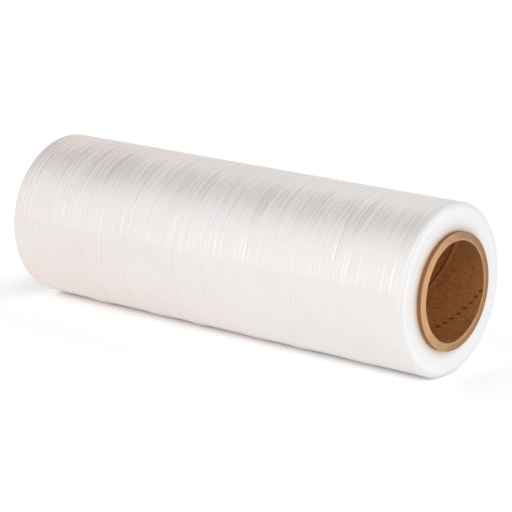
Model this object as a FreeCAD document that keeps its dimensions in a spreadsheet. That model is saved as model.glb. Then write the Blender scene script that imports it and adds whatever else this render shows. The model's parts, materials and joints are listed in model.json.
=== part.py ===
# Stretch wrap roll: clear film wound on a spiral cardboard core, lying on its side.
# Millimetres. The roll's axis lies along X and Z is up. The origin is on the surface
# that the roll lies on, under the middle of the roll.
import FreeCAD, Part
import math
import os
import Sketcher

# Driving sizes, each written once
SIZES = [
    ("bore_diameter", 76.2, "inside of the core, the usual 3 inch bore"),
    ("core_wall", 6.5, "thickness of the glued paper plies"),
    ("core_overhang", 4.5, "how far the core stands out of the film at each end"),
    ("edge_break", 0.4, "worn corner of the core's cut ends"),
    ("ply_pitch", 155.0, "advance of the innermost ply in one turn"),
    ("ply_gap", 0.9, "width of the seam between two turns of the innermost ply"),
    ("ply_depth", 0.35, "thickness of the innermost ply"),
    ("film_width", 381.0, "width of the film, 15 inches"),
    ("film_build", 20.9, "height of the wound film over the core"),
    ("shoulder_radius", 3.0, "rounding where the outer turns roll over at the ends"),
    ("turn_wander", 0.3, "how far groups of turns wander sideways"),
    ("valley_depth", 0.28, "depth of the valleys where the film was wound thinner"),
    ("valley_width", 8.0, "width of a valley at the surface"),
    ("valley_inset", 22.0, "from the film's end to the middle of the first valley"),
    ("flat_depth", 0.5, "how far the soft film is pressed flat where it rests"),
]

# Groups of turns that show on each end face
TURN_GROUPS = 5
TURN_STEP = 2.4

# Gaps between one valley and the next along the film, repeated in this order
VALLEY_GAPS = [33.0, 50.0, 38.0, 61.0, 43.0]

# Expressions that several pieces share
BORE_RADIUS = "(Sizes.bore_diameter / 2)"
CORE_RADIUS = f"({BORE_RADIUS} + Sizes.core_wall)"
FILM_RADIUS = f"({CORE_RADIUS} + Sizes.film_build)"
HALF_FILM = "(Sizes.film_width / 2)"
HALF_CORE = f"({HALF_FILM} + Sizes.core_overhang)"
AXIS_HEIGHT = f"({FILM_RADIUS} - Sizes.flat_depth)"

ORIGIN_POINT = (-1, 1)


def make_sheet(doc):
    """Put the driving sizes in a spreadsheet."""
    sheet = doc.addObject("Spreadsheet::Sheet", "Sizes")
    for row, (alias, value, note) in enumerate(SIZES, 1):
        sheet.set(f"A{row}", alias)
        sheet.set(f"B{row}", str(value))
        sheet.set(f"C{row}", note)
        sheet.setAlias(f"B{row}", alias)
    doc.recompute()
    return sheet


def new_body(doc, name):
    """Start a sub-part whose axis lies at the height of the resting roll's axis."""
    body = doc.addObject("PartDesign::Body", name)
    body.Label = name
    body.setExpression("Placement.Base.z", AXIS_HEIGHT)
    return body


def own_datum(body, role):
    """Find one of the body's own origin planes or axes."""
    return next(item for item in body.Origin.OriginFeatures if item.Role == role)


def new_sketch(body, name, role):
    """Start a sketch on one of the body's origin planes."""
    sketch = body.newObject("Sketcher::SketchObject", name)
    sketch.AttachmentSupport = [(own_datum(body, role), "")]
    sketch.MapMode = "FlatFace"
    return sketch


def hold_point(sketch, shape, point, across, up):
    """Hold a point of a sketch at a place given by two expressions."""
    for kind, rule in (("DistanceX", across), ("DistanceY", up)):
        place = float(sketch.evalExpression(rule))
        index = sketch.addConstraint(Sketcher.Constraint(kind, *ORIGIN_POINT, shape, point, place))
        sketch.setExpression(f"Constraints[{index}]", rule)


def rounded_corner(start, end):
    """A quarter arc that turns left from start to end, round the corner of their box."""
    centre = FreeCAD.Vector(min(start.x, end.x), min(start.y, end.y), 0)
    if end.y < start.y:
        centre.x = max(start.x, end.x)
    first = math.atan2(start.y - centre.y, start.x - centre.x)
    circle = Part.Circle(centre, FreeCAD.Vector(0, 0, 1), abs(end.x - start.x))
    return Part.ArcOfCircle(circle, first, first + math.pi / 2)


def draw_outline(sketch, corners, arcs=None):
    """Draw a closed outline through corners given as expressions.

    arcs gives the radius of each side that is a quarter arc, by the number of its first corner.
    """
    arcs = arcs or {}
    places = []
    for across, up in corners:
        east = float(sketch.evalExpression(across))
        north = float(sketch.evalExpression(up))
        places.append(FreeCAD.Vector(east, north, 0))
    for side, (start, end) in enumerate(zip(places, places[1:] + places[:1])):
        shape = rounded_corner(start, end) if side in arcs else Part.LineSegment(start, end)
        sketch.addGeometry(shape)
    last = len(corners) - 1
    for side, (across, up) in enumerate(corners):
        before = side - 1 if side else last
        sketch.addConstraint(Sketcher.Constraint("Coincident", before, 2, side, 1))
        hold_point(sketch, side, 1, across, up)
    for side, radius in arcs.items():
        size = float(sketch.evalExpression(radius))
        index = sketch.addConstraint(Sketcher.Constraint("Radius", side, size))
        sketch.setExpression(f"Constraints[{index}]", radius)


def revolve(body, kind, name, sketch):
    """Turn a sketch a full circle about the roll's axis."""
    turned = body.newObject(kind, name)
    turned.Profile = sketch
    turned.ReferenceAxis = (own_datum(body, "X_Axis"), [""])
    turned.Angle = 360
    sketch.Visibility = False
    return turned


def make_core(doc):
    """Paper tube, with the seam of its innermost ply winding through the bore."""
    body = new_body(doc, "cardboard_core")

    wall = new_sketch(body, "core_wall_section", "XY_Plane")
    corners = []
    for sign in ("", "-"):
        face = f"{sign}{HALF_CORE}"
        inset = f"{sign}({HALF_CORE} - Sizes.edge_break)"
        end = [
            (inset, BORE_RADIUS),
            (face, f"{BORE_RADIUS} + Sizes.edge_break"),
            (face, f"{CORE_RADIUS} - Sizes.edge_break"),
            (inset, CORE_RADIUS),
        ]
        corners.extend(end if sign == "" else end[::-1])
    draw_outline(wall, corners)
    revolve(body, "PartDesign::Revolution", "core_tube", wall)

    # The seam starts a whole number of turns before the tube's middle, outside the tube,
    # and runs as far past the other end
    turns_each_way = 2
    start = f"-{turns_each_way} * Sizes.ply_pitch"
    below = f"({BORE_RADIUS} - 3 * Sizes.ply_depth)"
    above = f"({BORE_RADIUS} + Sizes.ply_depth)"
    section = new_sketch(body, "ply_seam_section", "XY_Plane")
    draw_outline(section, [
        (f"{start} - Sizes.ply_gap / 2", below),
        (f"{start} + Sizes.ply_gap / 2", below),
        (f"{start} + Sizes.ply_gap / 2", above),
        (f"{start} - Sizes.ply_gap / 2", above),
    ])
    seam = body.newObject("PartDesign::SubtractiveHelix", "ply_seam")
    seam.Profile = section
    seam.ReferenceAxis = (own_datum(body, "X_Axis"), [""])
    seam.Mode = 0
    seam.setExpression("Pitch", "Sizes.ply_pitch")
    seam.setExpression("Height", f"{2 * turns_each_way} * Sizes.ply_pitch")
    seam.Angle = 0
    section.Visibility = False
    return body


def draw_film_section(sketch):
    """Draw half the film's section: wandering turns at both ends and rounded shoulders."""
    rise = f"(Sizes.film_build - Sizes.shoulder_radius) / {TURN_GROUPS}"
    near = []
    far = []
    for ring in range(TURN_GROUPS):
        wander = f"{math.sin(TURN_STEP * ring):.3f} * Sizes.turn_wander"
        radius = f"{CORE_RADIUS} + {ring} * {rise}"
        near.append((f"{HALF_FILM} + {wander}", radius))
        far.append((f"-{HALF_FILM} + {wander}", radius))
    shoulder = f"{FILM_RADIUS} - Sizes.shoulder_radius"
    inset = f"({HALF_FILM} - Sizes.shoulder_radius)"
    near.extend([(HALF_FILM, shoulder), (inset, FILM_RADIUS)])
    far.extend([(f"-{HALF_FILM}", shoulder), (f"-{inset}", FILM_RADIUS)])
    near_arc = len(near) - 2
    far_arc = len(near)
    arcs = {near_arc: "Sizes.shoulder_radius", far_arc: "Sizes.shoulder_radius"}
    draw_outline(sketch, near + far[::-1], arcs)


def add_valleys(body):
    """Cut shallow valleys round the film, unevenly spaced along it."""
    middle = f"({HALF_FILM} - Sizes.valley_inset)"
    section = new_sketch(body, "valley_section", "XY_Plane")
    draw_outline(section, [
        (middle, f"{FILM_RADIUS} - Sizes.valley_depth"),
        (f"{middle} + Sizes.valley_width", f"{FILM_RADIUS} + Sizes.valley_depth"),
        (f"{middle} - Sizes.valley_width", f"{FILM_RADIUS} + Sizes.valley_depth"),
    ])
    first = revolve(body, "PartDesign::Groove", "first_valley", section)

    room = body.evalExpression("Sizes.film_width - 2 * Sizes.valley_inset")
    count = 1
    reach = VALLEY_GAPS[0]
    while reach <= room:
        reach += VALLEY_GAPS[count % len(VALLEY_GAPS)]
        count += 1
    valleys = body.newObject("PartDesign::LinearPattern", "valleys")
    valleys.Originals = [first]
    valleys.Direction = (own_datum(body, "X_Axis"), [""])
    valleys.Reversed = True
    valleys.Mode = "Spacing"
    valleys.Occurrences = count
    valleys.Offset = VALLEY_GAPS[0]
    valleys.SpacingPattern = VALLEY_GAPS
    body.Tip = valleys


def make_film(doc):
    """All the turns of film as one solid, seated on the outside of the core."""
    body = new_body(doc, "film_roll")

    half_section = new_sketch(body, "film_section", "XY_Plane")
    draw_film_section(half_section)
    revolve(body, "PartDesign::Revolution", "wound_film", half_section)
    add_valleys(body)

    # Flat spot under the roll
    under = new_sketch(body, "flat_section", "YZ_Plane")
    draw_outline(under, [
        (f"-{FILM_RADIUS}", f"-{FILM_RADIUS} - Sizes.flat_depth"),
        (FILM_RADIUS, f"-{FILM_RADIUS} - Sizes.flat_depth"),
        (FILM_RADIUS, f"-{AXIS_HEIGHT}"),
        (f"-{FILM_RADIUS}", f"-{AXIS_HEIGHT}"),
    ])
    flat = body.newObject("PartDesign::Pocket", "flat_spot")
    flat.Profile = under
    flat.Midplane = True
    flat.setExpression("Length", "Sizes.film_width * 2")
    under.Visibility = False
    return body


def check(doc, bodies):
    """Stop if any object failed or any sub-part has no valid solid."""
    for item in doc.Objects:
        if "Invalid" in item.State or "Error" in item.State:
            raise RuntimeError(f"{item.Name} could not be built: {item.State}")
    for body in bodies:
        if body.Shape.isNull() or not body.Shape.isValid():
            raise RuntimeError(f"{body.Label} has no valid shape")
        if len(body.Shape.Solids) != 1:
            raise RuntimeError(f"{body.Label} has {len(body.Shape.Solids)} solids")


os.makedirs("parts", exist_ok=True)
document = FreeCAD.newDocument("StretchWrapRoll")
make_sheet(document)
pieces = [make_core(document), make_film(document)]
document.recompute()
check(document, pieces)
for piece in pieces:
    piece.Shape.exportStep(f"parts/{piece.Label}.step")
    print(piece.Label, round(piece.Shape.Volume, 1), "mm3", len(piece.Shape.Faces), "faces")
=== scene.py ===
"""Stretch wrap roll: clear film with fine wind lines on a spiral cardboard core, in a plain studio.

Metres. The roll's axis lies along X at AXIS_HEIGHT, Z is up, and the surface it lies on is Z = 0.
Angles round the roll are counted from its front (-Y) upwards.
"""
import json
import math

import bpy
import numpy as np
from bpy.props import FloatProperty, FloatVectorProperty, IntProperty, PointerProperty
from mathutils import Matrix, Vector


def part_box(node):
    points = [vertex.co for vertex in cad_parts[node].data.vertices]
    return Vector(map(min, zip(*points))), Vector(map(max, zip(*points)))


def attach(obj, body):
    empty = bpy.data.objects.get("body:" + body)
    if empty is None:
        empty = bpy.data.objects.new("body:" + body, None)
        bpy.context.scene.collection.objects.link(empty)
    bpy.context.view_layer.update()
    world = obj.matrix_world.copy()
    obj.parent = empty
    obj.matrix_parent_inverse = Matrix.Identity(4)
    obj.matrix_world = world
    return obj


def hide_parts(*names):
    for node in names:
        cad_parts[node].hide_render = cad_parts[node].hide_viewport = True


bl_info = {
    "name": "Stretch wrap roll",
    "version": (1, 0, 0),
    "blender": (4, 5, 0),
    "location": "View3D > Sidebar > Wrap roll",
    "description": "Models and finishes a roll of stretch film on its cardboard core",
    "category": "Object",
}

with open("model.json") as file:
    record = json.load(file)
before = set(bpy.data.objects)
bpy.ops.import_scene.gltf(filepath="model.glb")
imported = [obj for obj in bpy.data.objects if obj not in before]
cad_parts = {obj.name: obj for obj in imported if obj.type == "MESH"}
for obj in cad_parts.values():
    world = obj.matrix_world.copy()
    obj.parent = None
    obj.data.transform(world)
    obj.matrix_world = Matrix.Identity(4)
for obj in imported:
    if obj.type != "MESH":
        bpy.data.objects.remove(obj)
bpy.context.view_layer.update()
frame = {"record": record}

MM = 0.001
core_mount = next(mount for mount in frame["record"]["mounts"] if mount["name"] == "core_bore")
AXIS_HEIGHT = core_mount["pos_m"][2]
BORE_RADIUS = core_mount["dims"]["r_mm"] * MM
CORE_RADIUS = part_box("cardboard_core")[1].z - AXIS_HEIGHT
FILM_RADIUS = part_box("film_roll")[1].z - AXIS_HEIGHT
HALF_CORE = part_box("cardboard_core")[1].x
OVERHANG = 4.5 * MM
HALF_FILM = HALF_CORE - OVERHANG
AXIS = Vector((0.0, 0.0, AXIS_HEIGHT))


class FilmSettings(bpy.types.PropertyGroup):
    """Sizes and colours of the wound film."""

    shoulder_radius: FloatProperty(
        name="Shoulder radius", description="Rounding where the outer turns roll over",
        default=3 * MM, unit="LENGTH")
    columns: IntProperty(
        name="Columns", description="Faces round the roll", default=192, min=48)
    bands: IntProperty(
        name="Bands", description="Wide rows of faces along the film's side", default=19, min=4)
    rings: IntProperty(
        name="Rings", description="Rows of faces that each band is divided into",
        default=20, min=4)
    turn_rings: IntProperty(
        name="Turn rings", description="Rings of faces across each end face", default=44, min=8)
    turn_wander: FloatProperty(
        name="Turn wander", description="How far groups of turns stand in or out at the ends",
        default=0.22 * MM, unit="LENGTH")
    lines: IntProperty(
        name="Wind lines", description="Narrow creases that run round the film",
        default=90, min=0)
    line_depth: FloatProperty(
        name="Line depth", description="Depth of a typical wind line", default=0.10 * MM,
        unit="LENGTH")
    tail_step: FloatProperty(
        name="Tail step", description="Height of the free edge of the last turn",
        default=0.12 * MM, unit="LENGTH")
    colour: FloatVectorProperty(
        name="Film colour", description="Many layers of clear film seen together",
        subtype="COLOR", size=3, default=(0.815, 0.662, 0.607))
    # Painted light: the side turns to this whiter colour towards the front and top, where the lamps
    # fall
    front_lit_colour: FloatVectorProperty(
        name="Clear colour", description="The same where the layers lie closer together",
        subtype="COLOR", size=3, default=(0.81, 0.775, 0.755))
    # Whiter colour for the wind lines, partly painted highlight, and painted highlight on the folds
    milky_and_highlight_colour: FloatVectorProperty(
        name="White colour", description="Stretched lines that have turned milky",
        subtype="COLOR", size=3, default=(0.92, 0.90, 0.89))
    # Darker, warmer colour low down near the floor, towards the left end
    low_left_colour: FloatVectorProperty(
        name="Low colour", description="Loose film near the surface that the roll lies on",
        subtype="COLOR", size=3, default=(0.73, 0.60, 0.51))
    end_colour: FloatVectorProperty(
        name="End colour", description="Edges of the turns on the end faces",
        subtype="COLOR", size=3, default=(0.88, 0.88, 0.885))
    # Painted shade at the outer rim of the end faces, for the shoulder's rounding
    rim_shade_colour: FloatVectorProperty(
        name="Rim colour", description="Outermost turns, seen from the end",
        subtype="COLOR", size=3, default=(0.745, 0.725, 0.705))
    # Painted shade on the end faces, on the side away from the front
    end_shade_colour: FloatVectorProperty(
        name="Far colour", description="End faces on the side away from the front",
        subtype="COLOR", size=3, default=(0.82, 0.83, 0.86))
    # The board showing through the innermost turns, partly a painted reflection of the core's edge
    board_and_reflection_colour: FloatVectorProperty(
        name="Warm colour", description="Board that shows through the innermost turns",
        subtype="COLOR", size=3, default=(0.61, 0.425, 0.30))


class CoreSettings(bpy.types.PropertyGroup):
    """Sizes and colours of the cardboard core."""

    ply_pitch: FloatProperty(
        name="Ply pitch", description="Advance of the innermost ply in one turn",
        default=155 * MM, unit="LENGTH")
    ply_gap: FloatProperty(
        name="Ply gap", description="Width of the seam in the bore", default=0.9 * MM,
        unit="LENGTH")
    ply_depth: FloatProperty(
        name="Ply depth", description="Thickness of the innermost ply", default=0.35 * MM,
        unit="LENGTH")
    plies: IntProperty(name="Plies", description="Layers of paper in the wall", default=10)
    columns: IntProperty(name="Columns", description="Faces round the bore", default=160, min=48)
    edge_break: FloatProperty(
        name="Edge break", description="Worn corner of the cut ends", default=0.4 * MM,
        unit="LENGTH")
    bore_colour: FloatVectorProperty(
        name="Bore colour", description="Smooth inside of the paper tube",
        subtype="COLOR", size=3, default=(0.54, 0.216, 0.063))
    cut_colour: FloatVectorProperty(
        name="Cut colour", description="Sawn ends of the plies",
        subtype="COLOR", size=3, default=(0.37, 0.216, 0.114))
    outer_colour: FloatVectorProperty(
        name="Outer colour", description="Outside of the paper tube",
        subtype="COLOR", size=3, default=(0.29, 0.122, 0.045))
    ink_colour: FloatVectorProperty(
        name="Ink colour", description="Plain marks in the bore",
        subtype="COLOR", size=3, default=(0.05, 0.022, 0.01))


class StudioSettings(bpy.types.PropertyGroup):
    """Strengths of the plain studio light, and the view."""

    room: FloatProperty(
        name="Room", description="Brightness of the room round the roll", default=0.79)
    paper: FloatProperty(
        name="Paper", description="Brightness of the floor as the roll sees it", default=0.95)
    key: FloatProperty(name="Key lamp", description="Power of the front lamp", default=26.0)
    side: FloatProperty(name="Side lamp", description="Power of the right lamp", default=3.7)
    screen: FloatProperty(
        name="Screen", description="Brightness of the cloth in front of the roll", default=0.26)
    rear: FloatProperty(
        name="Rear", description="Brightness of the cloth behind the roll", default=0.20)
    azimuth: FloatProperty(
        name="Azimuth", description="Camera's turn round the roll",
        default=math.radians(38.339), unit="ROTATION")
    elevation: FloatProperty(
        name="Elevation", description="Camera's height as an angle",
        default=math.radians(15.146), unit="ROTATION")
    roll: FloatProperty(
        name="Roll", description="Camera's tilt about its own line of sight",
        default=math.radians(0.076), unit="ROTATION")
    distance: FloatProperty(
        name="Distance", description="From the middle of the roll to the camera",
        default=1.710348, unit="LENGTH")
    lens: FloatProperty(
        name="Lens", description="Focal length in millimetres on a 36 mm sensor",
        default=153.79)
    aside: FloatProperty(
        name="Aside", description="Camera's place to its right of the roll's middle",
        default=7.294 * MM, unit="LENGTH")
    above: FloatProperty(
        name="Above", description="Camera's place above the roll's middle, in its own view",
        default=-5.703 * MM, unit="LENGTH")


class Wire:
    """A socket of a shader node, with the sums that the materials are written in."""

    def __init__(self, tree, socket):
        self.tree = tree
        self.socket = socket

    @classmethod
    def node(cls, tree, kind, settings=None, inputs=None, output=0):
        """Add a node, set it up, feed its inputs and return one of its outputs."""
        made = tree.nodes.new(kind)
        for name, value in (settings or {}).items():
            setattr(made, name, value)
        for name, value in (inputs or {}).items():
            if isinstance(value, cls):
                tree.links.new(value.socket, made.inputs[name])
            elif value is not None:
                made.inputs[name].default_value = value
        return cls(tree, made.outputs[output]) if made.outputs else None

    def _math(self, operation, first, second=None, third=None):
        return Wire.node(self.tree, "ShaderNodeMath", {"operation": operation},
                         {0: first, 1: second, 2: third})

    def __add__(self, other):
        return self._math("ADD", self, other)

    def __radd__(self, other):
        return self._math("ADD", other, self)

    def __sub__(self, other):
        return self._math("SUBTRACT", self, other)

    def __rsub__(self, other):
        return self._math("SUBTRACT", other, self)

    def __mul__(self, other):
        return self._math("MULTIPLY", self, other)

    def __rmul__(self, other):
        return self._math("MULTIPLY", other, self)

    def __truediv__(self, other):
        return self._math("DIVIDE", self, other)

    def __abs__(self):
        return self._math("ABSOLUTE", self)

    def fraction(self):
        """What is left after whole numbers are taken away."""
        return self._math("FRACT", self)

    def power(self, exponent):
        return self._math("POWER", self, exponent)

    def over(self, low, high):
        """A soft step from 0 at low to 1 at high; low may be the larger one."""
        return Wire.node(self.tree, "ShaderNodeMapRange",
                         {"interpolation_type": "SMOOTHSTEP", "clamp": True},
                         {"Value": self, "From Min": low, "From Max": high})


def new_material(name):
    """An empty node material and its tree."""
    material = bpy.data.materials.new(name)
    material.use_nodes = True
    material.node_tree.nodes.clear()
    return material, material.node_tree


def finish_material(tree, shader):
    """Send a shader to the material's surface."""
    Wire.node(tree, "ShaderNodeOutputMaterial", inputs={"Surface": shader})


def place_of(tree):
    """Object coordinates as a vector, and their three parts."""
    place = Wire.node(tree, "ShaderNodeTexCoord", output="Object")
    return [place] + [Wire.node(tree, "ShaderNodeSeparateXYZ", inputs={0: place}, output=axis)
                      for axis in range(3)]


def radius_and_angle(tree, across, upward):
    """Distance from the roll's axis, and the angle from +Y towards +Z in turns."""
    height = upward - AXIS_HEIGHT
    radius = (across * across + height * height).power(0.5)
    turn = Wire.node(tree, "ShaderNodeMath", {"operation": "ARCTAN2"}, {0: height, 1: across})
    return radius, turn / math.tau


def stretched_noise(tree, place, per_metre, detail=2.0, roughness=0.5, offset=(0.0, 0.0, 0.0)):
    """Noise whose grain has its own size along each axis."""
    moved = Wire.node(tree, "ShaderNodeMapping", inputs={
        "Vector": place, "Scale": per_metre, "Location": offset})
    return Wire.node(tree, "ShaderNodeTexNoise", inputs={
        "Vector": moved, "Scale": 1.0, "Detail": detail, "Roughness": roughness})


def mix_colours(tree, amount, first, second):
    """Blend two colours, each a wire or a plain colour."""
    def colour(value):
        return value if isinstance(value, Wire) else (*value, 1.0)
    return Wire.node(tree, "ShaderNodeMix", {"data_type": "RGBA"},
                     {0: amount, 6: colour(first), 7: colour(second)}, output=2)


def shaded(colour, factor):
    """A plain colour made lighter or darker."""
    return [channel * factor for channel in colour]


# Shares of an edge line's cell: how far its place may vary, its rise, and where its fall
# begins and ends
EDGE_JITTER = 0.55
EDGE_RISE = 0.10
EDGE_TOP = 0.08
EDGE_FOOT = 0.42


def edge_lines(tree, place, along, across, upward, spacing, seed):
    """Edges of turns that lie over one another: each a short rise and a long fall.

    There is at most one in each cell along the roll, and it comes and goes round the roll.
    """
    drift = stretched_noise(tree, place, (25, 1.5, 1.5), 0.0, 0.5, (seed, seed, 0.0))
    count = along / spacing + drift * 2.5
    part = count.fraction()
    cell = count - part
    jitter = Wire.node(tree, "ShaderNodeTexWhiteNoise", {"noise_dimensions": "1D"},
                       {"W": cell + seed})
    start = part - jitter * EDGE_JITTER
    ridge = start.over(0.0, EDGE_RISE) * start.over(EDGE_FOOT, EDGE_TOP)
    spot = Wire.node(tree, "ShaderNodeCombineXYZ",
                     inputs={0: cell * 7.31 + seed, 1: across * 13.0, 2: upward * 13.0})
    present = Wire.node(tree, "ShaderNodeTexNoise", inputs={
        "Vector": spot, "Scale": 1.0, "Detail": 1.0})
    return ridge * present.over(0.38, 0.62)


def film_material(film):
    """Milky, glossy film: fine wind lines on the side, edges of turns on the ends."""
    material, tree = new_material("clear_film")
    place, along, across, upward = place_of(tree)
    radius, _ = radius_and_angle(tree, across, upward)

    on_end = abs(along).over(HALF_FILM - 2.2 * MM, HALF_FILM - 0.9 * MM)
    warm = radius.over(CORE_RADIUS + 18 * MM, CORE_RADIUS).power(5.0) * on_end * 0.92
    rim = radius.over(FILM_RADIUS - 6 * MM, FILM_RADIUS - 1 * MM)
    shoulder = abs(along).over(HALF_FILM - 7 * MM, HALF_FILM - 1.5 * MM)

    # Narrow lines: short across the roll's length, long round it
    lines = stretched_noise(tree, place, (700, 10, 10), 1.0, 0.6)
    broad = stretched_noise(tree, place, (120, 6, 6), 1.0, 0.5, (1.3, 4.7, 2.1))
    wide = edge_lines(tree, place, along, across, upward, 4.2 * MM, 0.0)
    narrow = edge_lines(tree, place, along, across, upward, 2.4 * MM, 41.0)
    creases = (lines - 0.5) * (0.16 * MM) + (broad - 0.5) * (0.10 * MM)
    creases = creases + wide * (0.12 * MM) + narrow * (0.085 * MM)
    top = (upward - AXIS_HEIGHT).over(0.80 * FILM_RADIUS, 0.95 * FILM_RADIUS)
    creases = creases * (1.05 - along * (0.35 / HALF_FILM)) * (1 + top * 0.5)

    # Edges of the turns: fine rings on the end faces
    rings = Wire.node(tree, "ShaderNodeTexNoise", {"noise_dimensions": "1D"},
                      {"W": radius * 2600.0, "Scale": 1.0, "Detail": 2.0})
    height = creases * (1 - on_end) + (rings - 0.5) * on_end * (0.012 * MM)
    bumped = Wire.node(tree, "ShaderNodeBump", inputs={
        "Height": height, "Strength": 1.0, "Distance": 1.0})

    # Painted light: whiter towards the front and top, where the lamps fall, and a little towards
    # the right end; cloudy patches vary it at random
    cloud = stretched_noise(tree, place, (16, 24, 24), 2.0, 0.5, (5.0, 1.0, 3.0))
    front = (upward - AXIS_HEIGHT) * (0.5 / FILM_RADIUS) - across * (0.87 / FILM_RADIUS)
    clear = along * (0.28 / HALF_FILM) + front.over(0.35, 0.95) * 0.55 + (cloud - 0.5) * 1.1
    clear = clear.over(-0.38, 0.72)
    side = mix_colours(tree, clear, film.colour, film.front_lit_colour)
    # Darker and warmer low down near the floor, towards the left end
    low = upward.over(34 * MM, 8 * MM) * along.over(0.25 * HALF_FILM, -0.6 * HALF_FILM)
    side = mix_colours(tree, low * 0.5, side, film.low_left_colour)
    # Whiter along the wind lines and turn edges, partly milky stretched film and partly painted
    # highlight of their glossy streaks, and painted highlight along the folds
    folds = Wire.node(tree, "ShaderNodeAttribute", {"attribute_name": "folds"}, output=2)
    milky_and_highlight = (lines - 0.5) * 0.5 + wide * 0.1 + folds * 0.6
    side = mix_colours(tree, milky_and_highlight, side, film.milky_and_highlight_colour)
    # Painted shade: the end faces grow darker towards the back, away from the lamps
    end = mix_colours(tree, across.over(-0.8 * FILM_RADIUS, 0.5 * FILM_RADIUS),
                      film.end_colour, film.end_shade_colour)
    # Painted shade: the end faces darken towards the outer rim, where the shoulder rounds over
    end = mix_colours(tree, rim, end, film.rim_shade_colour)
    side = mix_colours(tree, on_end, side, end)
    # Warm near the core: the board shows through the innermost turns, with a painted reflection of
    # the core's edge in the end face
    colour = mix_colours(tree, warm, side, film.board_and_reflection_colour)

    roughness = 0.20 + 0.32 * shoulder
    shader = Wire.node(tree, "ShaderNodeBsdfPrincipled", inputs={
        "Base Color": colour, "Roughness": roughness, "IOR": 2.3,
        "Specular IOR Level": 1.0, "Normal": bumped})
    finish_material(tree, shader)
    return material


# The row of plain marks in the bore: how far past the seam, as a share of its pitch, and
# how many would fill a turn
MARK_ROW = 0.2794
MARKS_PER_TURN = 46.0


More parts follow.
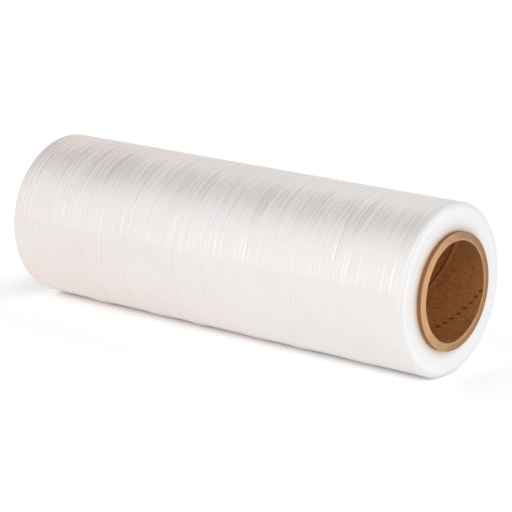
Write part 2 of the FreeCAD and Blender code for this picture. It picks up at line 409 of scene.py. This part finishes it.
def core_material(core):
    """Kraft paper: smooth bore, sawn plies on the ends, outer ply, and plain ink marks."""
    material, tree = new_material("kraft_board")
    place, along, across, upward = place_of(tree)
    radius, turn = radius_and_angle(tree, across, upward)

    worn_corner = radius.over(CORE_RADIUS - 2 * MM, CORE_RADIUS - 1 * MM) * (0.3 * MM)
    on_end = (abs(along) + worn_corner).over(
        HALF_CORE - core.edge_break * 1.4, HALF_CORE - core.edge_break * 0.5)
    outside = radius.over(CORE_RADIUS - 1.1 * MM, CORE_RADIUS - 0.5 * MM)

    fibres = stretched_noise(tree, place, (900, 900, 900), 4.0, 0.65)
    cloud = stretched_noise(tree, place, (90, 90, 90), 2.0, 0.5, (2.0, 5.0, 9.0))
    flecks = stretched_noise(tree, place, (1100, 1100, 1100), 0.0, 0.5, (8.0, 1.0, 4.0))
    grain = stretched_noise(tree, place, (620, 620, 620), 3.0, 0.7, (1.0, 7.0, 3.0))

    turns_of_wave = math.tau * core.plies / (CORE_RADIUS - BORE_RADIUS)
    wave = Wire.node(tree, "ShaderNodeMath", {"operation": "SINE"},
                     {0: (radius - BORE_RADIUS) * turns_of_wave + cloud * 3.0})
    plies = 0.5 + 0.5 * wave

    bore = mix_colours(tree, fibres.over(0.36, 0.66),
                       shaded(core.bore_colour, 0.8), shaded(core.bore_colour, 1.35))
    bore = mix_colours(tree, grain.over(0.57, 0.42) * 0.55 + cloud.over(0.50, 0.72) * 0.25,
                       bore, shaded(core.bore_colour, 0.50))
    bore = mix_colours(tree, flecks.over(0.72, 0.80) * 0.7, bore, (0.60, 0.38, 0.22))


    # Painted shade: darker towards the open ends, where light comes in, and on the upper side
    mouth_shade = abs(along).over(HALF_CORE - 45 * MM, HALF_CORE - 4 * MM)
    roof_shade = upward.over(AXIS_HEIGHT + 2 * MM, AXIS_HEIGHT + BORE_RADIUS)
    bore = mix_colours(tree, mouth_shade * 0.40 + roof_shade * 0.40, bore, shaded(core.bore_colour, 0.42))

    # The innermost ply's edge, worn lighter on its mouth side
    climb = along / core.ply_pitch - turn
    past_seam = climb.fraction() * core.ply_pitch
    worn = past_seam.over(0.5 * MM, 0.9 * MM) * past_seam.over(4.6 * MM, 3.6 * MM)
    bore = mix_colours(tree, worn * 0.2, bore, shaded(core.bore_colour, 2.0))
    shade = past_seam.over(0.6 * MM, 0.3 * MM)
    shade = shade + past_seam.over(core.ply_pitch - 0.9 * MM, core.ply_pitch - 0.3 * MM)
    bore = mix_colours(tree, shade * 0.85, bore, shaded(core.bore_colour, 0.2))

    # Plain marks in a row that climbs with the ply
    level = (climb - MARK_ROW + 0.5).fraction() - 0.5
    level = level * core.ply_pitch
    step = (turn * MARKS_PER_TURN).fraction()
    dash = abs(step - 0.5).over(0.26, 0.22) * abs(level).over(1.9 * MM, 1.5 * MM)
    dash = dash * fibres.over(0.30, 0.50)
    bore = mix_colours(tree, dash * 0.7, bore, core.ink_colour)

    # Painted light: the cut is paler, with fewer dark specks, on the side of the tube towards the
    # front lamps, varied in cloudy patches
    lit_front = upward * (0.15 / CORE_RADIUS) - across * (0.9 / CORE_RADIUS)
    lit_front = (lit_front - 0.15 * AXIS_HEIGHT / CORE_RADIUS + (cloud - 0.5) * 0.8).over(-0.45, 0.9)
    cut = mix_colours(tree, lit_front, core.cut_colour, shaded(core.cut_colour, 1.95))
    specks = grain.over(0.45, 0.60) * (0.5 - lit_front * 0.35)
    cut = mix_colours(tree, plies * 0.25 + specks, cut, shaded(core.cut_colour, 0.60))
    # Painted highlight along the inner edge of the cut, on the side away from the front lamps
    lip = radius.over(BORE_RADIUS + 2.4 * MM, BORE_RADIUS + 1.0 * MM) * (1 - lit_front)
    cut = mix_colours(tree, lip * 0.55, cut, shaded(core.cut_colour, 1.7))
    outer = mix_colours(tree, fibres.over(0.35, 0.7),
                        core.outer_colour, shaded(core.outer_colour, 1.3))

    colour = mix_colours(tree, outside, bore, outer)
    colour = mix_colours(tree, on_end, colour, cut)

    height = fibres * (0.05 * MM) + plies * on_end * (0.06 * MM)
    bumped = Wire.node(tree, "ShaderNodeBump", inputs={
        "Height": height, "Strength": 1.0, "Distance": 1.0})
    shader = Wire.node(tree, "ShaderNodeBsdfPrincipled", inputs={
        "Base Color": colour, "Roughness": 0.78, "IOR": 1.45,
        "Specular IOR Level": 0.3, "Normal": bumped})
    finish_material(tree, shader)
    return material


def choose(piece, kind, test):
    """Go to edit mode with only the edges or faces selected that pass a test."""
    if bpy.context.mode != "OBJECT":
        bpy.ops.object.mode_set(mode="OBJECT")
    bpy.context.tool_settings.mesh_select_mode = (False, kind == "EDGE", kind == "FACE")
    mesh = piece.data
    for group in (mesh.vertices, mesh.edges, mesh.polygons):
        group.foreach_set("select", [False] * len(group))
    items = mesh.edges if kind == "EDGE" else mesh.polygons
    for item in items:
        if test([mesh.vertices[number].co for number in item.vertices]):
            item.select = True
            for number in item.vertices:
                mesh.vertices[number].select = True
    bpy.ops.object.mode_set(mode="EDIT")


def leave_edit():
    """Back to object mode."""
    bpy.ops.object.mode_set(mode="OBJECT")


def from_axis(point):
    """Distance of a point from the roll's axis."""
    return math.hypot(point.y, point.z - AXIS_HEIGHT)


def new_tube(name, radius, length, columns):
    """A closed cylinder along the roll's axis, as a start."""
    bpy.ops.object.select_all(action="DESELECT")
    bpy.ops.mesh.primitive_cylinder_add(
        vertices=columns, radius=radius, depth=length, end_fill_type="NGON",
        location=AXIS, rotation=(0.0, math.radians(90), 0.0))
    piece = bpy.context.object
    piece.name = name
    piece.data.name = name
    bpy.ops.object.transform_apply(location=True, rotation=True, scale=True)
    return piece


def read_points(piece):
    """A mesh's points as an array."""
    points = np.empty(len(piece.data.vertices) * 3)
    piece.data.vertices.foreach_get("co", points)
    return points.reshape(-1, 3)


def write_points(piece, points):
    """Put an array of points back in a mesh."""
    piece.data.vertices.foreach_set("co", points.ravel())
    piece.data.update()


def soft_step(values, low, high):
    """0 below low, 1 above high, smooth between."""
    share = np.clip((values - low) / (high - low), 0.0, 1.0)
    return share * share * (3.0 - 2.0 * share)


def round_wave(angle, random, waves=5):
    """A smooth random height round the roll, about -1 to 1."""
    total = np.zeros_like(angle)
    for order in range(1, waves + 1):
        total += (random.normal() * np.cos(order * angle + random.uniform(0, math.tau))
                  / order ** 0.5)
    return total / waves ** 0.5


def long_wave(along, random, longest, waves=4):
    """A smooth random height along the roll, about -1 to 1."""
    total = np.zeros_like(along)
    for order in range(1, waves + 1):
        total += random.normal() * np.cos(order * math.tau * along / longest
                                          + random.uniform(0, math.tau)) / order ** 0.5
    return total / waves ** 0.5


def wind_lines(film, random):
    """Middle, width and depth of each crease that runs round the film."""
    reach = HALF_FILM - film.shoulder_radius - 2 * MM
    middles = np.sort(random.uniform(-reach, reach, film.lines))
    widths = random.uniform(0.45, 1.1, film.lines) * MM
    depths = film.line_depth * np.exp(random.normal(0.0, 0.55, film.lines))
    return list(zip(middles, widths, depths))


def gather_rings(along, half, lines):
    """Move evenly spaced rings towards the creases, so that these are finely divided."""
    fine = np.linspace(-half, half, 6001)
    density = np.full_like(fine, 1.0)
    for middle, width, _ in lines:
        density += 5.0 * np.exp(-((fine - middle) / (1.1 * width)) ** 2)
    share = np.cumsum(density)
    share = (share - share[0]) / (share[-1] - share[0])
    return np.interp((along + half) / (2 * half), share, fine)


# Bulges of the loose outer turn above the surface it lies on: place along the roll,
# angle in degrees, height, and half-widths along and round the roll
BULGES = [
    (-131 * MM, -71, 0.8 * MM, 9 * MM, 9),
    (-70 * MM, -71, 0.55 * MM, 12 * MM, 9),
    (-28 * MM, -70, 0.7 * MM, 7 * MM, 8),
    (30 * MM, -71, 0.5 * MM, 15 * MM, 9),
    (72 * MM, -72, 0.75 * MM, 8 * MM, 9),
    (132 * MM, -71, 0.5 * MM, 13 * MM, 9),
]

# Small slanted folds of the loose outer turn: two ends as places along the roll and
# angles in degrees, then height and half-width
FOLDS = [
    ((52 * MM, -47), (63 * MM, -33), 0.22 * MM, 1.3 * MM),
    ((63 * MM, -33), (80 * MM, -50), 0.25 * MM, 1.4 * MM),
    ((57 * MM, -52), (66 * MM, -40), 0.15 * MM, 1.1 * MM),
    ((-128 * MM, -60), (-116 * MM, -52), 0.18 * MM, 1.2 * MM),
    ((-136 * MM, -62), (-128 * MM, -54), 0.16 * MM, 1.0 * MM),
]

TAIL_ANGLE = math.radians(-76)


def shape_side(film, points, radius, angle, side, random):
    """Wind lines, loose bulges, folds and the free edge on the film's side.

    Returns how much each point is creased by a fold, from 0 to 1.
    """
    half = HALF_FILM - film.shoulder_radius
    lines = wind_lines(film, random)
    along = gather_rings(points[side, 0], half, lines)
    turned = angle[side]

    height = np.zeros_like(along)
    for middle, width, depth in lines:
        window = soft_step(round_wave(turned, random), -0.35, 0.45)
        offset = (along - middle) / width
        height -= depth * window * np.exp(-offset ** 2)
        height += 0.35 * depth * window * np.exp(-(np.abs(offset) - 1.7) ** 2 * 2.0)
    bands = long_wave(along, random, 190 * MM, 9)
    height += 0.035 * MM * bands

    for middle, level, size, wide, round_wide in BULGES:
        gap = (np.degrees(turned) - level) / round_wide
        height += size * np.exp(-((along - middle) / wide) ** 2 - gap ** 2)

    folds = np.zeros_like(along)
    for start, end, size, wide in FOLDS:
        first = np.array([start[0], math.radians(start[1]) * FILM_RADIUS])
        last = np.array([end[0], math.radians(end[1]) * FILM_RADIUS])
        here = np.stack([along, turned * FILM_RADIUS], axis=1) - first
        run = last - first
        share = np.clip(here @ run / (run @ run), 0.0, 1.0)
        gap = np.linalg.norm(here - share[:, None] * run, axis=1)
        height += size * np.sin(math.pi * np.clip(share, 0.05, 0.95)) * np.exp(-(gap / wide) ** 2)
        folds = np.maximum(folds, np.sin(math.pi * share) * np.exp(-(gap / (0.7 * wide)) ** 2))

    after = np.mod(turned - TAIL_ANGLE, math.tau) / math.tau
    height += film.tail_step * (after - 0.5) * soft_step(half - np.abs(along), 0.0, 3 * MM)

    drift = (0.9 * MM * np.sin(turned + along * 41.0)
             + 0.5 * MM * np.sin(turned * 3 - along * 83))
    along = along + drift * soft_step(half - np.abs(along), 0.0, 8 * MM)

    points[side, 0] = along
    radius[side] += height
    return folds


def shape_ends(film, points, radius, angle, ends, random):
    """Groups of turns that stand in or out on the end faces."""
    share = (radius[ends] - CORE_RADIUS) / (FILM_RADIUS - CORE_RADIUS)
    share = np.clip(share, 0.0, 1.0)
    groups = np.sin(2.4 * 5 * share) * film.turn_wander
    level = np.round(share * film.turn_rings).astype(int)
    fine = random.normal(0.0, 0.018 * MM, film.turn_rings + 3)[level]
    lean = 0.06 * MM * np.cos(angle[ends] + 5.0 * share)
    fade = soft_step(share, 0.0, 0.06) * (1.0 - soft_step(share, 0.78, 0.86))
    swell = 0.8 * MM * np.sign(points[ends, 0]) * np.exp(-(share / 0.14) ** 2)
    points[ends, 0] += (groups + fine + lean) * fade + swell


def make_film_mesh(film):
    """Cylinder with a core hole, rounded shoulders, and fine rings along it and on its ends."""
    piece = new_tube("film_turns", FILM_RADIUS, 2 * HALF_FILM, film.columns)
    choose(piece, "FACE", lambda corners: len(corners) > 4)
    bpy.ops.mesh.inset(thickness=FILM_RADIUS - CORE_RADIUS, use_even_offset=True)
    bpy.ops.mesh.bridge_edge_loops()
    leave_edit()

    def on_rim(corners):
        return (abs(corners[0].x - corners[1].x) < 1e-6
                and all(from_axis(corner) > FILM_RADIUS - MM for corner in corners))

    choose(piece, "EDGE", on_rim)
    bpy.ops.mesh.bevel(offset=film.shoulder_radius, segments=6, profile=0.5, affect="EDGES")

    def across_end(corners):
        return (abs(corners[0].x - corners[1].x) < 1e-6
                and abs(from_axis(corners[0]) - from_axis(corners[1])) > 5 * MM)

    choose(piece, "EDGE", across_end)
    bpy.ops.mesh.subdivide(number_cuts=film.turn_rings - 1)

    def along_side(corners):
        return (abs(corners[0].x - corners[1].x) > 10 * MM
                and from_axis(corners[0]) > FILM_RADIUS - MM)

    for parts in (film.bands, film.rings):
        choose(piece, "EDGE", along_side)
        bpy.ops.mesh.subdivide(number_cuts=parts - 1)
    leave_edit()

    random = np.random.default_rng(7)
    points = read_points(piece)
    radius = np.hypot(points[:, 1], points[:, 2] - AXIS_HEIGHT)
    angle = np.arctan2(points[:, 2] - AXIS_HEIGHT, -points[:, 1])
    half = HALF_FILM - film.shoulder_radius
    side = (radius > FILM_RADIUS - 1e-5) & (np.abs(points[:, 0]) < half + 1e-5)
    ends = np.abs(points[:, 0]) > HALF_FILM - 1e-5
    ends &= radius < FILM_RADIUS - film.shoulder_radius
    folds = np.zeros(len(points))
    folds[side] = shape_side(film, points, radius, angle, side, random)
    shape_ends(film, points, radius, angle, ends, random)
    points[:, 1] = -radius * np.cos(angle)
    points[:, 2] = AXIS_HEIGHT + radius * np.sin(angle)
    points[:, 2] = np.maximum(points[:, 2], 0.0)
    write_points(piece, points)
    # The folds are kept on the points for their painted highlight in the film's colour
    layer = piece.data.attributes.new("folds", "FLOAT", "POINT")
    layer.data.foreach_set("value", folds)

    bpy.ops.object.shade_smooth_by_angle(angle=math.radians(40))
    return piece


def ply_profile(core):
    """Places along one pitch of the bore, close together at the seam, with their radii."""
    half = core.ply_gap / 2
    lip = half + 0.12 * MM
    near = [(0.0, core.ply_depth), (half, core.ply_depth), (lip, 0.0), (lip + 0.5 * MM, 0.0)]
    rows = 46
    start = near[-1][0] + 1.5 * MM
    step = (core.ply_pitch - 2 * start) / rows
    middle = [(start + step * row, 0.0) for row in range(rows + 1)]
    far = [(core.ply_pitch - place, depth) for place, depth in reversed(near)]
    return [(place, BORE_RADIUS + depth) for place, depth in near + middle + far]


def sweep_bore(core):
    """One pitch of the bore's wall, swept along the ply's helix and cut to length."""
    profile = ply_profile(core)
    bpy.ops.object.select_all(action="DESELECT")
    bpy.ops.mesh.primitive_circle_add(
        vertices=len(profile), fill_type="NOTHING", location=(0.0, 0.0, 0.0))
    piece = bpy.context.object
    piece.name = "core_tube"
    piece.data.name = "core_tube"
    ends = [piece.data.vertices[number].co.copy() for number in (0, len(profile) - 1)]
    choose(piece, "EDGE", lambda corners: all(corner in ends for corner in corners))
    bpy.ops.mesh.delete(type="EDGE")
    leave_edit()

    # The seam crosses +Y at the tube's middle, and the sweep starts whole turns before it
    points = read_points(piece)
    points[:, 0] = [place - 3 * core.ply_pitch for place, _ in profile]
    points[:, 1] = [radius for _, radius in profile]
    points[:, 2] = 0.0
    write_points(piece, points)
    sweep = piece.modifiers.new("ply sweep", "SCREW")
    sweep.axis = "X"
    sweep.angle = math.tau
    sweep.screw_offset = core.ply_pitch
    sweep.iterations = 5
    sweep.steps = core.columns
    sweep.render_steps = core.columns
    bpy.ops.object.modifier_apply(modifier=sweep.name)

    bpy.ops.object.mode_set(mode="EDIT")
    bpy.ops.mesh.select_all(action="SELECT")
    bpy.ops.mesh.remove_doubles(threshold=0.01 * MM)
    for side in (1, -1):
        bpy.ops.mesh.select_all(action="SELECT")
        bpy.ops.mesh.bisect(
            plane_co=(side * (HALF_CORE - core.edge_break), 0.0, 0.0), plane_no=(side, 0.0, 0.0),
            clear_outer=True, threshold=0.001 * MM)
    bpy.ops.object.mode_set(mode="OBJECT")
    return piece


def close_wall(core, piece, random):
    """Carry both rims out over the sawn ends and in along the outside, where they meet."""
    cut = HALF_CORE - core.edge_break

    def on_cut(corners):
        return all(abs(corner.x) > cut - 0.001 * MM for corner in corners)

    choose(piece, "EDGE", on_cut)

    first = BORE_RADIUS + core.edge_break
    last = CORE_RADIUS - core.edge_break
    rings = 2 * core.plies
    path = [(HALF_CORE, first + (last - first) * ring / rings) for ring in range(rings + 1)]
    path += [(place, CORE_RADIUS) for place in (cut, HALF_FILM + 2 * MM, HALF_FILM - 1 * MM)]
    for number, (place, radius) in enumerate(path):
        bpy.ops.mesh.extrude_edges_move()
        bpy.ops.object.mode_set(mode="OBJECT")
        chosen = np.array([vertex.select for vertex in piece.data.vertices])
        points = read_points(piece)
        rim = points[chosen]
        angle = np.arctan2(rim[:, 2], rim[:, 1])
        side = np.sign(rim[:, 0])
        sunk = np.zeros_like(angle)
        if number < rings + 1:
            ragged = round_wave(angle, random, 24) * 0.5 + random.normal(0.0, 0.35, len(angle))
            sunk = (0.05 + 0.05 * (number % 2) + 0.025 * ragged) * MM
        points[chosen] = np.stack([
            side * (place - np.clip(sunk, 0.0, 0.3 * MM)),
            radius * np.cos(angle), radius * np.sin(angle)], axis=1)
        write_points(piece, points)
        bpy.ops.object.mode_set(mode="EDIT")
    bpy.ops.mesh.bridge_edge_loops()
    bpy.ops.mesh.select_all(action="SELECT")
    bpy.ops.mesh.normals_make_consistent(inside=False)
    bpy.ops.object.mode_set(mode="OBJECT")


# Angles of the burr at the rims in degrees from +Y: where it swells, and the nick that ends it
BURR_ANGLES = (-96, -70)
NICK_ANGLES = (-43.5, -41.5)


def fray_bore(core, piece):
    """Paper pushed inwards at the cut rims, with one nick."""
    points = read_points(piece)
    radius = np.hypot(points[:, 1], points[:, 2])
    angle = np.degrees(np.arctan2(points[:, 2], points[:, 1]))
    near_rim = soft_step(np.abs(points[:, 0]), HALF_CORE - 4 * MM, HALF_CORE - core.edge_break)
    inner = 1.0 - soft_step(radius, BORE_RADIUS + 0.3 * MM, BORE_RADIUS + 2.2 * MM)
    burr = soft_step(angle, *BURR_ANGLES) * (1.0 - soft_step(angle, *NICK_ANGLES))
    wave = 0.12 * np.sin(np.radians(angle) * 5 + 1.0) + 0.07 * np.sin(np.radians(angle) * 13)
    shift = (0.55 * burr + wave) * MM * near_rim * inner
    scale = (radius - shift) / radius
    points[:, 1] *= scale
    points[:, 2] *= scale
    points[:, 2] += AXIS_HEIGHT
    write_points(piece, points)


def make_core_mesh(core):
    """Paper tube whose innermost ply leaves a spiral seam in the bore."""
    random = np.random.default_rng(11)
    piece = sweep_bore(core)
    close_wall(core, piece, random)
    fray_bore(core, piece)
    bpy.ops.object.shade_smooth_by_angle(angle=math.radians(30))
    return piece


class WRAPROLL_OT_film(bpy.types.Operator):
    """Model the wound film and give it its finish"""
    bl_idname = "wraproll.film"
    bl_label = "Wound film"

    def execute(self, context):
        film = context.scene.wrap_film
        piece = make_film_mesh(film)
        piece.data.materials.append(film_material(film))
        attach(piece, "root")
        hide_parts("film_roll")
        return {"FINISHED"}


class WRAPROLL_OT_core(bpy.types.Operator):
    """Model the cardboard core and give it its finish"""
    bl_idname = "wraproll.core"
    bl_label = "Cardboard core"

    def execute(self, context):
        core = context.scene.wrap_core
        piece = make_core_mesh(core)
        piece.data.materials.append(core_material(core))
        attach(piece, "root")
        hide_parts("cardboard_core")
        return {"FINISHED"}


FLOOR_SIZE = 8.0

# The floor's colour for the camera, close to the roll: above 1, so that it reaches white where
# the shadow ends, and a little cool, against the warm light that the roll throws on it
PAPER_SEEN = (1.31, 1.34, 1.37)

# Lamps: name, direction from the roll, distance, width, height, and the setting of its power
LAMPS = [
    ("key_lamp", (-0.26, -0.86, 0.38), 9.0, 1.4, 6.8, "key"),
    ("side_lamp", (0.92, -0.25, 0.32), 1.6, 0.9, 0.9, "side"),
]


def stage_material(name, strength):
    """Pale surface that the camera sees as white, with the roll's shadow kept."""
    material, tree = new_material(name)
    _, along, across, _ = place_of(tree)
    seen = Wire.node(tree, "ShaderNodeLightPath", output="Is Camera Ray")

    # To the camera, the floor shows the shadow close to the roll and is plain white beyond it
    bright = Wire.node(tree, "ShaderNodeBsdfDiffuse", inputs={"Color": (*PAPER_SEEN, 1.0)})
    glow = Wire.node(tree, "ShaderNodeEmission", inputs={"Strength": 1.0})
    near = abs(across).over(140 * MM, 35 * MM)
    near = near * abs(along).over(HALF_FILM + 80 * MM, HALF_FILM + 10 * MM)
    white = Wire.node(tree, "ShaderNodeMixShader", inputs={0: near, 1: glow, 2: bright})

    # As the roll sees it, the floor glows evenly, with painted shade close to where the roll rests
    shade = abs(across).over(33 * MM, 8 * MM)
    shade = shade * abs(along).over(HALF_FILM + 7 * MM, HALF_FILM - 13 * MM)
    light = Wire.node(tree, "ShaderNodeEmission", inputs={
        "Color": mix_colours(tree, shade, (1, 1, 1), (0.04, 0.04, 0.04)), "Strength": strength})
    floor = Wire.node(tree, "ShaderNodeMixShader", inputs={0: seen, 1: light, 2: white})
    finish_material(tree, floor)
    return material


def add_lamp(name, towards, distance, width, height, power):
    """A soft rectangular lamp that faces the roll's middle from a direction."""
    lamp = bpy.data.lights.new(name, "AREA")
    lamp.shape = "RECTANGLE"
    lamp.size = width
    lamp.size_y = height
    lamp.energy = power
    holder = bpy.data.objects.new(name, lamp)
    bpy.context.scene.collection.objects.link(holder)
    direction = Vector(towards).normalized()
    holder.location = AXIS + direction * distance
    holder.rotation_euler = (-direction).to_track_quat("-Z", "Y").to_euler()


def set_room(scene, studio):
    """Even room light, darker overhead and in one corner; the camera sees plain white."""
    world = bpy.data.worlds.new("studio_room")
    scene.world = world
    world.use_nodes = True
    tree = world.node_tree
    tree.nodes.clear()
    seen = Wire.node(tree, "ShaderNodeLightPath", output="Is Camera Ray")
    direction = Wire.node(tree, "ShaderNodeTexCoord", output="Generated")
    right, back, rise = [
        Wire.node(tree, "ShaderNodeSeparateXYZ", inputs={0: direction}, output=axis)
        for axis in range(3)]
    screen = back.over(0.20, -0.45) * studio.screen
    rear = back.over(0.20, 0.60) * studio.rear
    corner = right.over(-0.66, -0.80) * back.over(-0.40, -0.05)
    ceiling = rise.over(0.66, 0.79) * 0.14 + rise.over(0.81, 0.92) * 0.68
    strength = (screen + rear + studio.room) * (1 - ceiling) * (1 - 0.5 * corner)
    room = Wire.node(tree, "ShaderNodeBackground",
                     inputs={"Color": (1.0, 1.0, 1.0, 1.0), "Strength": strength})
    white = Wire.node(tree, "ShaderNodeBackground",
                      inputs={"Color": (1.0, 1.0, 1.0, 1.0), "Strength": 1.0})
    both = Wire.node(tree, "ShaderNodeMixShader", inputs={0: seen, 1: room, 2: white})
    Wire.node(tree, "ShaderNodeOutputWorld", inputs={"Surface": both})


class WRAPROLL_OT_stage(bpy.types.Operator):
    """Set the floor, the soft lamps, the even room light and the camera"""
    bl_idname = "wraproll.stage"
    bl_label = "Studio"

    def execute(self, context):
        scene = context.scene
        studio = scene.wrap_studio
        bpy.ops.object.select_all(action="DESELECT")
        bpy.ops.mesh.primitive_plane_add(size=FLOOR_SIZE, location=(0.0, 0.0, 0.0))
        floor = context.object
        floor.name = "floor"
        floor.data.materials.append(stage_material("floor_paper", studio.paper))
        for name, towards, distance, width, height, power in LAMPS:
            add_lamp(name, towards, distance, width, height, getattr(studio, power))
        set_room(scene, studio)
        scene.view_settings.view_transform = "Standard"
        add_camera(scene, studio)
        return {"FINISHED"}


def add_camera(scene, studio):
    """Camera at the photograph's viewing angle."""
    turn = studio.azimuth
    rise = studio.elevation
    level = math.cos(rise)
    back = Vector((math.sin(turn) * level, -math.cos(turn) * level, math.sin(rise)))
    right = Vector((math.cos(turn), math.sin(turn), 0.0))
    up = back.cross(right)
    right, up = (math.cos(studio.roll) * right + math.sin(studio.roll) * up,
                 math.cos(studio.roll) * up - math.sin(studio.roll) * right)
    lens = bpy.data.cameras.new("camera")
    lens.sensor_width = 36.0
    lens.lens = studio.lens
    camera = bpy.data.objects.new("camera", lens)
    scene.collection.objects.link(camera)
    place = AXIS + back * studio.distance + right * studio.aside + up * studio.above
    facing = Matrix((right, up, back)).transposed().to_4x4()
    camera.matrix_world = Matrix.Translation(place) @ facing
    scene.camera = camera


class WRAPROLL_PT_panel(bpy.types.Panel):
    """Steps that make the roll"""
    bl_idname = "WRAPROLL_PT_panel"
    bl_label = "Stretch wrap roll"
    bl_space_type = "VIEW_3D"
    bl_region_type = "UI"
    bl_category = "Wrap roll"

    def draw(self, context):
        for step in STEPS:
            self.layout.operator(step.bl_idname)


SETTINGS = {"wrap_film": FilmSettings, "wrap_core": CoreSettings, "wrap_studio": StudioSettings}
STEPS = [WRAPROLL_OT_film, WRAPROLL_OT_core, WRAPROLL_OT_stage]


def register():
    for group in SETTINGS.values():
        bpy.utils.register_class(group)
    for name, group in SETTINGS.items():
        setattr(bpy.types.Scene, name, PointerProperty(type=group))
    for step in STEPS + [WRAPROLL_PT_panel]:
        bpy.utils.register_class(step)


def unregister():
    for step in STEPS + [WRAPROLL_PT_panel]:
        bpy.utils.unregister_class(step)
    for name, group in SETTINGS.items():
        delattr(bpy.types.Scene, name)
        bpy.utils.unregister_class(group)


def main():
    """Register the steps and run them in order."""
    register()
    bpy.ops.wraproll.film()
    bpy.ops.wraproll.core()
    bpy.ops.wraproll.stage()


if __name__ == "__main__":
    main()
